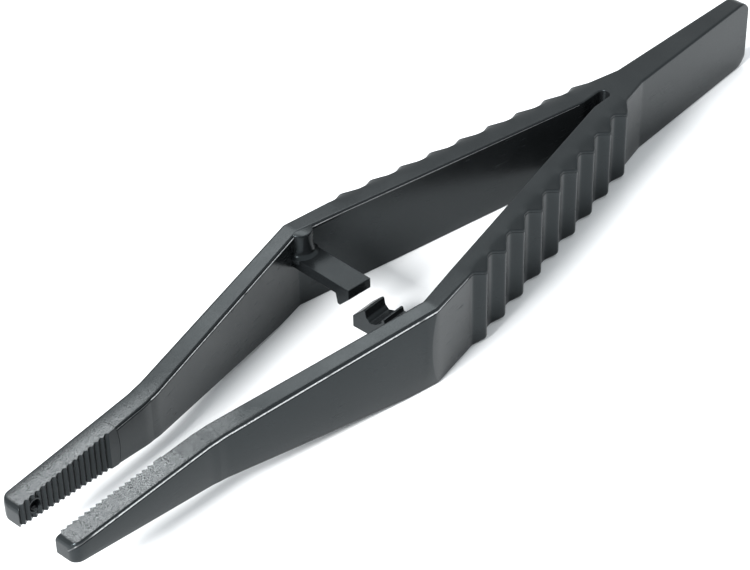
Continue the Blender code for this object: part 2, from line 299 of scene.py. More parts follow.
def flank(high, low, ridge, groove):
    """(height, how far it stands out) down a side face, under its top corner: the parting
    ridge, the groove below it, then the plain face."""
    ridge_foot = high - RIDGE_WIDTH
    groove_foot = ridge_foot - GROOVE_WIDTH
    plain = groove_foot - GROOVE_SUPPORT
    points = [
        (high - 0.2 * RIDGE_WIDTH, RIDGE * ridge),
        (high - 0.8 * RIDGE_WIDTH, RIDGE * ridge),
        (ridge_foot - 0.2 * GROOVE_WIDTH, -GROOVE * groove),
        (ridge_foot - 0.7 * GROOVE_WIDTH, -GROOVE * groove),
        (groove_foot, 0.0),
        (plain, 0.0),
    ]
    steps = range(1, FLANK_STEPS)
    return points + [(plain + (low - plain) * k / FLANK_STEPS, 0.0) for k in steps]


def flat(left, right):
    """Distances from the middle across a level face: near each corner and halfway."""
    margin = min(MARGIN, (right - left) * MARGIN_SHARE)
    return left + margin, (left + right) / 2, right - margin


def section(station, side, **shape):
    """One slice of a member, as points clockwise from its top inner edge.

    Each number of the shape may be a function of the station: inner, outer, top and bottom,
    the four corner radii, how far the outside bulges (crown_out), how much of the parting
    ridge and groove each side has, where the top starts to fall (fold) and by how much (dip),
    how far the middle of each side is drawn along X (bow_x outside, seam_x inside), and how
    far the outside moves outwards with it (slant_out).
    """

    def number(name, otherwise=0.0):
        found = shape.get(name, otherwise)
        return found(station) if callable(found) else found

    yi, yo, zt, zb = (number(n) for n in ("inner", "outer", "top", "bottom"))
    ti, to, bo, bi = (
        max(number(n, EDGE), 0.0)
        for n in ("round_top_in", "round_top_out", "round_low_out", "round_low_in")
    )
    middle, half = (zt + zb) / 2, (zt - zb) / 2
    low_side = zt - number("dip")

    def bow(z):
        return 1 - ((z - middle) / half) ** 2

    points = [(0.0, y, z) for y, z in corner(yi + ti, zt - ti, ti, ti, 180)]
    left, right = yi + ti, yo - to
    first, _, last = flat(left, right)
    fold = number("fold", last)
    points += [(0.0, y, zt) for y in (first, (left + fold) / 2, fold)]
    points += [(0.0, y, z) for y, z in corner(right, low_side - to, to, to, 90)]
    bow_x, slant, crown = number("bow_x"), number("slant_out"), number("crown_out")
    for z, lift in flank(low_side - to, zb + bo, number("ridge_out"), number("groove_out")):
        x = bow_x * bow(z)
        points.append((x, yo + lift + crown * bow(z) + slant * x, z))
    points += [(0.0, y, z) for y, z in corner(yo - bo, zb + bo, bo, bo, 0)]
    points += [(0.0, y, zb) for y in reversed(flat(yi + bi, yo - bo))]
    points += [(0.0, y, z) for y, z in corner(yi + bi, zb + bi, bi, bi, 270)]
    seam_x = number("seam_x")
    rise = flank(zt - ti, zb + bi, number("ridge_in"), number("groove_in"))
    points += [(seam_x * bow(z), yi - lift, z) for z, lift in reversed(rise)]
    return [Vector((at(station) + x, side * y, z)) for x, y, z in points]


def loft(slices, flash=()):
    """A closed bar through a list of slices: one face, extruded from each slice to the next.
    The strips listed by number take the second material."""
    bm = bmesh.new()
    ring = [bm.verts.new(p) for p in slices[0]]
    cap = bm.faces.new(ring)
    for points in slices[1:]:
        behind = ring
        inside = cap if cap.edges[0].link_faces[1:] else None
        grown = bmesh.ops.extrude_face_region(bm, geom=[cap])["geom"]
        fresh = {g for g in grown if isinstance(g, bmesh.types.BMVert)}
        cap = next(g for g in grown if isinstance(g, bmesh.types.BMFace))
        ring = [
            next(e.other_vert(v) for e in v.link_edges if e.other_vert(v) in fresh)
            for v in ring
        ]
        for v, p in zip(ring, points):
            v.co = p
        for n in flash:
            after = (n + 1) % len(ring)
            strip = bm.faces.get((behind[n], behind[after], ring[after], ring[n]))
            strip.material_index = 1
        if inside:
            bmesh.ops.delete(bm, geom=[inside], context="FACES_ONLY")
    return bm


def finished(name, bm, material, replaced, sharp=SHARP, second=None):
    """A piece from a bmesh in millimetres: merged, closed, outward and in its finish."""
    bmesh.ops.remove_doubles(bm, verts=bm.verts, dist=WELD)
    bmesh.ops.dissolve_degenerate(bm, edges=bm.edges, dist=SAME_POINT)
    bmesh.ops.recalc_face_normals(bm, faces=bm.faces)
    bmesh.ops.scale(bm, vec=(MM, MM, MM), verts=bm.verts)
    mesh = bpy.data.meshes.new(name)
    bm.to_mesh(mesh)
    bm.free()
    mesh.shade_smooth()
    mesh.set_sharp_from_angle(angle=math.radians(sharp))
    for finish in (material, second) if second else (material,):
        mesh.materials.append(finish)
    piece = bpy.data.objects.new(name, mesh)
    bpy.context.scene.collection.objects.link(piece)
    if replaced:
        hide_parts(*replaced)
    return piece


def spread(start, end, step):
    """Stations from start to end, no further apart than step."""
    count = max(1, math.ceil((end - start) / step))
    return [start + (end - start) * n / count for n in range(count + 1)]


def creased(*corners):
    """Stations that hold a corner tight: a pair on it and a support on each side."""
    return [c + d for c in corners for d in (-SUPPORT, -CREASE, CREASE, SUPPORT)]


def rib_stations(first, last):
    """Stations through the ribs from number first to number last."""
    valleys = [RIBS + number * RIB_PITCH for number in range(first, last + 1)]
    return valleys + [valley + step for valley in valleys[:-1] for step in RIB_STEPS]


def bend_ends(side, stations):
    """The two ends of a bend, in metres, on a member's inner face."""
    return ((at(s) * MM, side * inner_line(s) * MM, MEMBER_MIDDLE * MM) for s in stations)


def quarter(radius, depth):
    """How much a rounded corner takes off at a depth into it: nothing where it starts, its
    whole radius where it ends."""
    depth = max(0.0, depth)
    return radius - math.sqrt(max(0.0, radius**2 - depth**2))


def make_tail(materials):
    """The tail blade, the yoke and the two prongs, made as one half and mirrored."""

    def drop(s):
        return quarter(TAIL_CORNER, TAIL_CORNER - s)

    def end_round(s):
        return quarter(TAIL_END_ROUND, TAIL_END_ROUND - s)

    def slot_edge(s):
        return INNER_EDGE * min(1.0, crotch_line(s) / SLOT_FULL)

    def parting(share):
        """How much of the ridge or groove there is."""
        start = RIBS - PARTING_FADE
        line = through((start, 0.0), (RIBS, share), (TIP, share))
        return lambda s: max(0.0, line(s)) if s > start else 0.0

    turns = [math.radians(a) for a in range(0, 91, 9)]
    stations = [TAIL_CORNER * (1 - math.cos(t)) for t in turns]
    stations += [0.06, 0.2, TAIL_END_ROUND] + spread(TAIL_CORNER, YOKE - SUPPORT, 2.0)[1:]
    stations += creased(YOKE) + [YOKE + 2.4, RIBS - 0.3, RIBS - 0.06]
    stations += [CROTCH + step for step in (0.002, 0.02, 0.06, 0.15, 0.45, CROTCH_BLUNT)]
    stations += rib_stations(0, 1)
    shape = dict(
        inner=crotch_line,
        outer=lambda s: rib_line(s) - end_round(s),
        top=lambda s: top_line(s) - drop(s),
        bottom=lambda s: bottom_line(s) + drop(s),
        round_top_in=slot_edge,
        round_low_in=slot_edge,
        round_top_out=through(
            (0.0, TAIL_EDGE), (YOKE, TAIL_EDGE), (RIBS, RIB_EDGE), (TIP, RIB_EDGE)
        ),
        round_low_out=rib_foot,
        fold=lambda s: rib_fold(s) if s > RIBS else outer_line(s) - end_round(s) - TAIL_FOLD,
        dip=lambda s: RIB_DIP * rib_share(s),
        groove_out=parting(1.0),
        ridge_out=parting(LOW_RIDGE),
    )
    bm = loft([section(s, LEFT, **shape) for s in sorted(set(stations))])
    bmesh.ops.remove_doubles(bm, verts=bm.verts, dist=SAME_POINT)
    middle = [f for f in bm.faces if all(abs(v.co.y) < ON_MIDDLE for v in f.verts)]
    bmesh.ops.delete(bm, geom=middle, context="FACES")
    everything = bm.verts[:] + bm.edges[:] + bm.faces[:]
    bmesh.ops.mirror(bm, geom=everything, merge_dist=MIRROR_WELD, axis="Y")
    loose = [e for e in bm.edges if not e.link_faces]
    bmesh.ops.delete(bm, geom=loose, context="EDGES")
    piece = finished(
        "tail_and_prongs", bm, materials["matte_black"], ["tail_blade", "yoke"]
    )
    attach(piece, "tail")


def grip_shape(side):
    """The finger grip."""
    return dict(
        inner=crotch_line,
        outer=rib_line,
        top=top_line,
        bottom=bottom_line,
        round_top_in=INNER_EDGE,
        round_low_in=INNER_EDGE,
        round_low_out=rib_foot,
        round_top_out=RIB_EDGE,
        fold=rib_fold,
        dip=lambda s: RIB_DIP * rib_share(s),
        groove_out=1.0,
        ridge_out=LOW_RIDGE,
        ridge_in=through((FIRST_VALLEY, 0.0), (ELBOW, LOW_RIDGE)) if side == RIGHT else 0.0,
    )


def make_grip(label, side, materials):
    """The wall of the finger grip with its ribs."""
    stations = sorted(set(rib_stations(1, RIB_COUNT)))
    # Only the far grip's inner top edge, which faces +Y, gets the flash with its painted
    # highlight
    flash = INNER_FLASH_HIGHLIGHT if side == RIGHT else ()
    bm = loft([section(s, side, **grip_shape(side)) for s in stations], flash)
    piece = finished(
        f"{label}_grip",
        bm,
        materials["matte_black"],
        [f"{label}_arm_spring", f"{label}_finger_grip"],
        second=materials["flash"] if flash else None,
    )
    start, end = bend_ends(side, ARM_BEND)
    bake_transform(piece)


def arm_shape(side):
    """The elbow, shank and jaw. Each arm has its full parting line on the side that faces +Y."""
    ridge = through((ELBOW, LOW_RIDGE), (BEND, 1.0), (TIP, 1.0))
    plain = through((ELBOW, 1.0), (BEND, 0.0), (TIP, 0.0))
    groove_in = through((ELBOW, 0.0), (BEND, 1.0), (TIP, 1.0))
    crown = through((BEND, 0.0), (BEND + 2.0, 0.36), (KINK, 0.2), (TIP, 0.08))
    return dict(
        inner=inner_line,
        outer=outer_line,
        top=top_line,
        bottom=bottom_line,
        round_top_in=through((ELBOW, INNER_EDGE), (BEND, 0.3), (TIP, 0.3)),
        round_top_out=through((ELBOW, RIB_EDGE), (BEND, 0.28), (KINK, 0.32), (TIP, 0.3)),
        round_low_out=EDGE,
        round_low_in=INNER_EDGE,
        crown_out=lambda s: crown(s) if s > BEND + SUPPORT else 0.0,
        groove_out=ridge if side == LEFT else plain,
        ridge_out=ridge if side == LEFT else plain,
        ridge_in=ridge if side == RIGHT else 0.0,
        groove_in=groove_in if side == RIGHT else 0.0,
        slant_out=OUTER_SLANT,
        bow_x=lambda s: ELBOW_BOW if abs(s - BEND) < 0.2 else 0.0,
    )


def make_arm(label, side, materials):
    """The smooth elbow and the shank."""
    stations = [ELBOW, ELBOW + 0.1, ELBOW + 0.5, ELBOW + 3.0, BEND - SUPPORT, BEND - CREASE]
    stations += [BEND + CREASE, BEND + 2.0] + spread(BEND + 3.0, KINK - KINK_EASE, 1.6)
    stations += spread(KINK - KINK_EASE, KINK, 0.4)[1:]
    # The flash with its painted highlight goes on the side that faces +Y
    flash = OUTER_FLASH_HIGHLIGHT if side == LEFT else INNER_FLASH_HIGHLIGHT
    bm = loft([section(s, side, **arm_shape(side)) for s in stations], flash)
    piece = finished(
        f"{label}_elbow_and_shank",
        bm,
        materials["satin_black"],
        [f"{label}_elbow", f"{label}_shank"],
        second=materials["flash"],
    )
    start, end = bend_ends(side, SHANK_BEND)
    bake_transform(piece)


def tip_rounding(radius):
    """How much a rounded end takes off at a station."""
    return lambda s: quarter(radius, s - (TIP - radius))


def tip_stations():
    """Stations round the tip's corners."""
    radii = (TIP_TOP_ROUND, TIP_LOW_ROUND, TIP_OUT_ROUND)
    turns = [math.sin(math.radians(a)) for a in (18, 36, 50, 62, 72, 80, 86, 90)]
    return {round(TIP - r + r * t, 3) for r in radii for t in turns}


def tipped(shape):
    """A shape whose end is rounded above and below, and outside if that is the arm's outside."""
    top_cut, low_cut, out_cut = map(tip_rounding, (TIP_TOP_ROUND, TIP_LOW_ROUND, TIP_OUT_ROUND))
    made = dict(shape)
    made["top"] = lambda s: top_line(s) - top_cut(s)
    made["bottom"] = lambda s: bottom_line(s) + low_cut(s)
    if shape["outer"] is outer_line:
        made["outer"] = lambda s: outer_line(s) - out_cut(s)
    return made


def make_jaw(label, side, materials):
    """The jaw's body, stepped back behind the tooth pad."""
    shape = tipped(arm_shape(side))
    edge = PAD + 0.01

    def until_pad(line):
        """The same line or number as far as the pad, and nothing behind the pad."""
        value = line if callable(line) else (lambda s: line)
        return lambda s: value(s) if s < edge else 0.0

    shape["inner"] = lambda s: inner_line(s) + (0.0 if s < edge else PAD_WALL)
    for name in ("round_top_in", "round_low_in", "ridge_in", "groove_in"):
        shape[name] = until_pad(shape[name])
    shape["seam_x"] = lambda s: -SEAM_BOW if abs(s - edge) < 0.1 else 0.0
    stations = spread(KINK, KINK + KINK_EASE, 0.4) + [PAD - 1.5, PAD, edge + 0.001]
    stations += spread(PAD + 1.0, TIP - TIP_OUT_ROUND, 1.0)
    # Only the near jaw's outer edge, which faces +Y, gets the flash with its painted highlight
    flash = OUTER_FLASH_HIGHLIGHT if side == LEFT else ()
    slices = [section(s, side, **shape) for s in sorted({*stations, *tip_stations()})]
    piece = finished(
        f"{label}_jaw_body",
        loft(slices, flash),
        materials["spark_black"],
        [f"{label}_jaw"],
        second=materials["flash"] if flash else None,
    )
    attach(piece, f"{label}_front")


def tooth_line(s):
    """The serrated face: each tooth has a steep flank, then a long one up to its crest."""
    if s < TEETH:
        return inner_line(s)
    share = ((s - TEETH + NUDGE) % TOOTH_PITCH) / TOOTH_PITCH
    if share < TOOTH_FLANK:
        return inner_line(s) + TOOTH_DEPTH * share / TOOTH_FLANK
    return inner_line(s) + TOOTH_DEPTH * (1 - share) / (1 - TOOTH_FLANK)


def make_pad(label, side, materials):
    """The tooth pad. The right one has a round socket, lined by a rim."""
    shape = tipped(
        dict(
            inner=tooth_line,
            outer=lambda s: inner_line(s) + PAD_WALL,
            top=top_line,
            bottom=bottom_line,
            round_top_in=TOOTH_EDGE,
            round_low_in=TOOTH_EDGE,
            round_top_out=0.0,
            round_low_out=0.0,
        )
    )
    start = PAD + SEAM_GAP
    shape["seam_x"] = lambda s: -SEAM_BOW if s < start + 0.1 else 0.0
    stations = [start, start + 0.11, TEETH - 0.4, TEETH - TOOTH_CREASE]
    for number in range(TOOTH_COUNT):
        crest = TEETH + number * TOOTH_PITCH
        root = crest + TOOTH_FLANK * TOOTH_PITCH
        stations += [crest + TOOTH_CREASE, root - TOOTH_CREASE, root + TOOTH_CREASE]
        stations.append(crest + TOOTH_PITCH - TOOTH_CREASE)
    stations = [s for s in stations if s < TIP - 0.2]
    bm = loft([section(s, side, **shape) for s in sorted({*stations, *tip_stations()})])
    name = f"{label}_serrated_pad"
    piece = finished(
        name,
        bm,
        materials["spark_black"],
        [f"{label}_tooth_pad"],
        sharp=SHARP_TOOTH,
    )
    if side == RIGHT:
        drill(piece)
        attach(make_rim(materials), f"{label}_front")
    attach(piece, f"{label}_front")


def turned(bm, degrees, axis):
    """Turns a shape about an axis through the origin."""
    turn = Matrix.Rotation(math.radians(degrees), 3, axis)
    bmesh.ops.rotate(bm, verts=bm.verts, cent=(0, 0, 0), matrix=turn)


def put_on_socket(bm):
    """Lays a shape that was made upright about the Z axis on the right pad's socket, pointing
    to the middle."""
    turned(bm, -90, "X")
    place = (at(SOCKET_STATION), -inner_line(SOCKET_STATION), SOCKET_HEIGHT)
    bmesh.ops.translate(bm, verts=bm.verts, vec=place)


def drill(piece):
    """Sinks the socket into the pad."""
    bm = bmesh.new()
    bmesh.ops.create_cone(
        bm,
        cap_ends=True,
        segments=SOCKET_SIDES,
        radius1=SOCKET_RADIUS,
        radius2=SOCKET_RADIUS,
        depth=SOCKET_DRILL,
    )
    bmesh.ops.translate(bm, verts=bm.verts, vec=(0, 0, 0.1))
    put_on_socket(bm)
    bmesh.ops.recalc_face_normals(bm, faces=bm.faces)
    bmesh.ops.scale(bm, vec=(MM, MM, MM), verts=bm.verts)
    mesh = bpy.data.meshes.new("socket_drill")
    bm.to_mesh(mesh)
    bm.free()
    cutter = bpy.data.objects.new("socket_drill", mesh)
    bpy.context.scene.collection.objects.link(cutter)
    solid = bmesh.new()
    solid.from_mesh(piece.data)
    bmesh.ops.triangulate(solid, faces=solid.faces)
    solid.to_mesh(piece.data)
    solid.free()
    hole = piece.modifiers.new("socket", "BOOLEAN")
    hole.operation = "DIFFERENCE"
    hole.solver = "EXACT"
    hole.object = cutter
    bpy.context.view_layer.update()
    drilled = piece.evaluated_get(bpy.context.evaluated_depsgraph_get())
    piece.data = bpy.data.meshes.new_from_object(drilled)
    piece.modifiers.clear()
    bpy.data.objects.remove(cutter)


def revolved(profile, steps):
    """A solid of revolution about Z from (radius, height) points."""
    bm = bmesh.new()
    verts = [bm.verts.new((r, 0.0, z)) for r, z in profile]
    edges = [bm.edges.new(pair) for pair in zip(verts, verts[1:])]
    if profile[0][0] > 0:
        edges.append(bm.edges.new((verts[-1], verts[0])))
    bmesh.ops.spin(
        bm,
        geom=verts + edges,
        cent=(0, 0, 0),
        axis=(0, 0, 1),
        angle=math.tau,
        steps=steps,
        use_merge=True,
    )
    bmesh.ops.remove_doubles(bm, verts=bm.verts, dist=SAME_POINT)
    return bm


def make_rim(materials):
    """The lip that lines the socket, just below the points of the teeth."""
    out = SOCKET_RADIUS + RIM_WALL
    profile = [
        (SOCKET_RADIUS - 0.12, RIM_FOOT),
        (SOCKET_RADIUS - 0.1, RIM_TOP - 0.08),
        (SOCKET_RADIUS - 0.06, RIM_TOP - 0.02),
        (SOCKET_RADIUS, RIM_TOP),
        (out - 0.06, RIM_TOP - 0.01),
        (out, RIM_TOP - 0.07),
        (out + 0.02, RIM_TOP - 0.3),
        (out + 0.02, RIM_FOOT),
    ]
    bm = revolved(profile, SOCKET_SIDES)
    put_on_socket(bm)
    return finished("right_socket_rim", bm, materials["satin_black"], [])


def make_peg(materials):
    """The guide peg on the left pad, with a domed end and a wider foot inside the pad."""
    foot = PEG_RADIUS + 0.1
    profile = [
        (0.0, PEG_REACH),
        (PEG_RADIUS * 0.5, PEG_REACH - 0.03),
        (PEG_RADIUS * 0.8, PEG_REACH - 0.1),
        (PEG_RADIUS * 0.95, PEG_REACH - 0.22),
        (PEG_RADIUS, PEG_REACH - 0.4),
        (PEG_RADIUS, -0.2),
        (foot, -0.5),
        (foot, PEG_FOOT),
        (0.0, PEG_FOOT),
    ]
    bm = revolved(profile, PEG_SIDES)
    turned(bm, 90, "X")
    place = (at(SOCKET_STATION), inner_line(SOCKET_STATION), SOCKET_HEIGHT)
    bmesh.ops.translate(bm, verts=bm.verts, vec=place)
    piece = finished("left_guide_peg", bm, materials["satin_black"], ["guide_peg"])
    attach(piece, "left_front")


def extruded_across(profile, width, bevel, cuts=()):
    """A bar with a side profile of (y, z) points, extruded along X and bevelled, then cut
    through at some Ys."""
    bm = bmesh.new()
    x = at(LATCH) - width / 2
    face = bm.faces.new([bm.verts.new((x, y, z)) for y, z in profile])
    grown = bmesh.ops.extrude_face_region(bm, geom=[face])["geom"]
    moved = [g for g in grown if isinstance(g, bmesh.types.BMVert)]
    bmesh.ops.translate(bm, verts=moved, vec=(width, 0, 0))
    bmesh.ops.bevel(
        bm, geom=bm.edges[:], offset=bevel, segments=3, affect="EDGES", profile=0.5, material=-1
    )
    for y in cuts:
        bmesh.ops.bisect_plane(
            bm,
            geom=bm.verts[:] + bm.edges[:] + bm.faces[:],
            dist=ON_PLANE,
            plane_co=(0, y, 0),
            plane_no=(0, 1, 0),
        )
    return bm


def make_latch_bar(materials):
    """The sprung bar from its seat in the elbow to its hooked nose."""
    under = BAR_TOP - BAR_THICKNESS
    profile = [
        (BAR_ROOT, BAR_TOP),
        (BAR_ROOT, under),
        (BAR_END - 2.2, under),
        (BAR_END - 1.9, under - 1.42),
        (BAR_END - 1.5, under - 1.46),
        (BAR_END, under + 0.1),
        (BAR_END, BAR_TOP),
    ]
    cuts = [BAR_BEND[0] + BAR_CUT * n for n in range(15)] + [-5.5, -4.5, -3.5]
    bm = extruded_across(profile, BAR_WIDTH, BAR_BEVEL, cuts)
    shear = Matrix.Identity(4)
    shear[1][0] = -math.tan(NOSE_SKEW)
    about = Matrix.Translation((at(LATCH), 0, 0))
    nose = [v for v in bm.verts if v.co.y > BAR_END - 3.0]
    bmesh.ops.transform(bm, matrix=about @ shear @ about.inverted(), verts=nose)
    hinge = (at(LATCH), BAR_HINGE, 0)
    bmesh.ops.rotate(bm, verts=bm.verts, cent=hinge, matrix=Matrix.Rotation(-BAR_TILT, 3, "Z"))
    piece = finished(
        "latch_bar_and_nose",
        bm,
        materials["satin_black"],
        ["latch_seat", "latch_root", "latch_bar", "latch_nose"],
        sharp=SHARP_LATCH,
    )
    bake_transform(piece)


def make_post(materials):
    """The half-round boss over the bar, flaring into a fillet at its foot."""
    profile = [
        (0.0, POST_TOP),
        (POST_RADIUS - 0.16, POST_TOP),
        (POST_RADIUS - 0.06, POST_TOP - 0.03),
        (POST_RADIUS - 0.01, POST_TOP - 0.1),
        (POST_RADIUS, POST_TOP - 0.3),
        (POST_RADIUS, 9.9),
    ]
    profile += [(1.6, 9.3), (1.64, 8.85), (1.74, 8.5), (1.9, 8.3), (2.1, 8.2), (2.2, 8.14)]
    profile += [(2.22, 8.0), (2.2, POST_FOOT), (0.0, POST_FOOT)]
    bm = revolved(profile, POST_SIDES)
    bmesh.ops.translate(bm, verts=bm.verts, vec=(at(LATCH), POST_Y, 0))
    for start, end in ((RIBS, BEND), (BEND, KINK)):
        run, rise = end - start, inner_line(end) - inner_line(start)
        normal = Vector((-rise, -run, 0)).normalized()
        face = Vector((at(BEND), -inner_line(BEND), 0)) + normal * POST_SETBACK
        bmesh.ops.bisect_plane(
            bm,
            geom=bm.verts[:] + bm.edges[:] + bm.faces[:],
            dist=ON_PLANE,
            plane_co=face,
            plane_no=normal,
            clear_outer=True,
        )
        rim = [e for e in bm.edges if e.is_boundary]
        if rim:
            bmesh.ops.holes_fill(bm, edges=rim, sides=0)
    piece = finished("latch_boss", bm, materials["satin_black"], ["latch_post"])
    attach(piece, "right_arm")


def make_catch(materials):
    """The catch: a ramp up to a crest, a drop into the groove, a shelf and a thin stop ridge."""
    profile = [
        (10.3, 5.6),
        (10.3, 2.6),
        (-0.35, 2.6),
        (-0.35, 4.27),
        (1.15, 5.75),
        (1.45, 6.0),
        (1.65, 6.0),
        (1.85, 5.0),
        (2.15, 4.75),
        (2.4, 4.5),
        (2.75, 4.62),
        (3.3, 4.8),
        (4.2, 5.5),
        (4.32, 6.1),
        (4.62, 6.15),
        (4.8, 5.6),
    ]
    bm = extruded_across(profile, CATCH_WIDTH, CATCH_BEVEL)
    piece = finished(
        "latch_catch",
        bm,
        materials["satin_black"],
        ["catch_bar"],
        sharp=SHARP_LATCH,
    )
    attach(piece, "left_arm")


# Materials

# Colours
BLACK = (0.0045, 0.0052, 0.0057, 1)
WORN_BLACK = (0.0085, 0.0096, 0.0103, 1)
# Pale grey, painted as glints on the spark-eroded grain
SPECK_GLINT = (0.21, 0.217, 0.221, 1)
# The parting flash: a dim base and a painted highlight on its beads, where the ridge catches the
# light
FLASH_DARK = (0.03, 0.032, 0.034, 1)
FLASH_HIGHLIGHT = (0.44, 0.45, 0.46, 1)

# The surface of the black plastic
ROUGHNESS = 0.24
ROUGHNESS_DRIFT = 0.16
IOR = 1.5
SPECULAR_LEVEL = 0.24
SPECULAR_TINT = (0.86, 1.0, 1.05, 1)
BUMP_DISTANCE = 0.000012
FINE_GRAIN = 0.3
COARSE_GRAIN = 2.2
LIGHT_SCRATCHES = 0.2
DEEP_SCRATCHES = 0.5

# Noise textures: scale per metre, detail and, where it isn't the usual half, roughness
FINE_NOISE = (9000.0, 2.0, 0.6)
COARSE_NOISE = (3600.0, 3.0, 0.65)
SPECK_GLINT_NOISE = (11500.0, 2.0, 0.75)
WANDER_NOISE = (260.0, 3.0)
SCRATCH_NOISE = (1.0, 2.0)
PATCH_NOISE = (420.0, 4.0)
SHEEN_NOISE = (170.0, 5.0, 0.6)
BEAD_NOISE = (11000.0, 1.0)
FLASH_HIGHLIGHT_NOISE = (700.0, 2.0)
PIT_SCALE = 3000.0
PIT_SHARE = 0.5

# The scratches slant down the side faces, and are drawn out along that slant
SCRATCH_SLANT = math.radians(38)
SCRATCH_SCALE = (260.0, 1200.0, 7000.0)

# From where to where an effect fades in: on a noise texture's value, or how far a face looks up
SPECK_GLINT_RAMP = (0.42, 0.6)
SCRATCH_RAMP = (0.62, 0.74)
PATCH_RAMP = (0.5, 0.65)
BEAD_RAMP = (0.3, 0.56)
FLASH_HIGHLIGHT_RAMP = (0.2, 0.42)
FACING_UP = (0.8, 0.97)

# The same in metres: the spark-eroded grain and its painted glints along X, and across the far
# jaw, whose outer edge is left darker as painted shade;
# then the painted highlight on the flash, which is faint before its start and stops short of the
# tip
JAW_TOPS = (0.038, 0.052)
NOWHERE = (0.5, 0.6)
FAR_JAW_SHADE_EDGE = (-0.0062, -0.0042)
WANDER = 0.012
FLASH_HIGHLIGHT_START = (0.006, 0.016)
FLASH_HIGHLIGHT_STOP = (0.0615, 0.0632)
FLASH_HIGHLIGHT_FAINT = 0.3
FLASH_ROUGHNESS = 0.3


def new_group(name, inputs, outputs):
    """An empty shader node group with these inputs and outputs, each a name and a kind."""
    group = bpy.data.node_groups.new(name, "ShaderNodeTree")
    for label, kind in inputs:
        group.interface.new_socket(label, in_out="INPUT", socket_type=kind)
    for label, kind in outputs:
        group.interface.new_socket(label, in_out="OUTPUT", socket_type=kind)
    into = group.nodes.new("NodeGroupInput")
    out = group.nodes.new("NodeGroupOutput")
    return group, into, out


def add(tree, kind, **settings):
    """A node with its settings and input values. Inputs are given as in_ and a name or number,
    and a value that is a socket is linked."""
    made = tree.nodes.new(kind)
    for key, value in settings.items():
        if not key.startswith("in_"):
            setattr(made, key, value)
            continue
        label = key[3:]
        slot = made.inputs[int(label) if label.isdigit() else label]
        if isinstance(value, bpy.types.NodeSocket):
            tree.links.new(value, slot)
        else:
            slot.default_value = value
    return made


def maths(tree, operation, a, b, clamp=False):
    """The result of an operation on two values or sockets."""
    made = add(tree, "ShaderNodeMath", operation=operation, use_clamp=clamp, in_0=a, in_1=b)
    return made.outputs[0]


def ramped(tree, value, low, high, shape="SMOOTHSTEP"):
    """0 below low, 1 above high, smooth or straight between."""
    return add(
        tree,
        "ShaderNodeMapRange",
        interpolation_type=shape,
        in_0=value,
        in_1=low,
        in_2=high,
        in_3=0.0,
        in_4=1.0,
    ).outputs[0]


def noise(tree, place, scale, detail, roughness=0.5):
    """The value of a noise texture."""
    return add(
        tree,
        "ShaderNodeTexNoise",
        in_Vector=place,
        in_Scale=scale,
        in_Detail=detail,
        in_Roughness=roughness,
    ).outputs["Fac"]


def make_grain_and_glint_group():
    """Moulding grain and painted glints: a height, fine everywhere and coarse in the mask, and a
    speckle of pale painted glints.
    """
    group, into, out = new_group(
        "moulding_grain",
        [
            ("Place", "NodeSocketVector"),
            ("Mask", "NodeSocketFloat"),
            ("Coarse", "NodeSocketFloat"),
        ],
        [("Height", "NodeSocketFloat"), ("Painted_glints", "NodeSocketFloat")],
    )
    place = into.outputs["Place"]
    fine = noise(group, place, *FINE_NOISE)
    pits = add(group, "ShaderNodeTexVoronoi", in_Vector=place, in_Scale=PIT_SCALE)
    pitted = maths(group, "MULTIPLY", pits.outputs["Distance"], PIT_SHARE)
    rough = maths(group, "ADD", noise(group, place, *COARSE_NOISE), pitted)
    rough = maths(group, "MULTIPLY", rough, into.outputs["Coarse"])
    rough = maths(group, "MULTIPLY", rough, into.outputs["Mask"])
    small = maths(group, "MULTIPLY", fine, FINE_GRAIN)
    group.links.new(maths(group, "ADD", rough, small), out.inputs["Height"])
    # Pale specks: painted glints on the grain
    glint_specks = noise(group, place, *SPECK_GLINT_NOISE)
    group.links.new(ramped(group, glint_specks, *SPECK_GLINT_RAMP), out.inputs["Painted_glints"])
    return group


def make_zone_group():
    """Where a surface faces up, and where it is spark-eroded and carries painted glints: on top
    and near the tips, but not along the outer edge of the far jaw, which is left darker as
    painted shade."""
    group, into, out = new_group(
        "surface_zones",
        [
            ("Place", "NodeSocketVector"),
            ("Facing", "NodeSocketVector"),
            ("Start", "NodeSocketFloat"),
            ("End", "NodeSocketFloat"),
        ],
        [("Top", "NodeSocketFloat"), ("Eroded_and_glints", "NodeSocketFloat")],
    )
    facing = add(group, "ShaderNodeSeparateXYZ", in_Vector=into.outputs["Facing"])
    place = add(group, "ShaderNodeSeparateXYZ", in_Vector=into.outputs["Place"])
    top = ramped(group, facing.outputs["Z"], *FACING_UP)
    wander = noise(group, into.outputs["Place"], *WANDER_NOISE)
    shift = maths(group, "MULTIPLY", maths(group, "SUBTRACT", wander, 0.5), WANDER)
    along = maths(group, "ADD", place.outputs["X"], shift)
    near = ramped(group, along, into.outputs["Start"], into.outputs["End"], "LINEAR")
    # The grain and its painted glints fade out across the far jaw towards its outer edge,
    # leaving that edge darker as painted shade
    near = maths(group, "MULTIPLY", near, ramped(group, place.outputs["Y"], *FAR_JAW_SHADE_EDGE))
    group.links.new(top, out.inputs["Top"])
    group.links.new(maths(group, "MULTIPLY", near, top), out.inputs["Eroded_and_glints"])
    return group


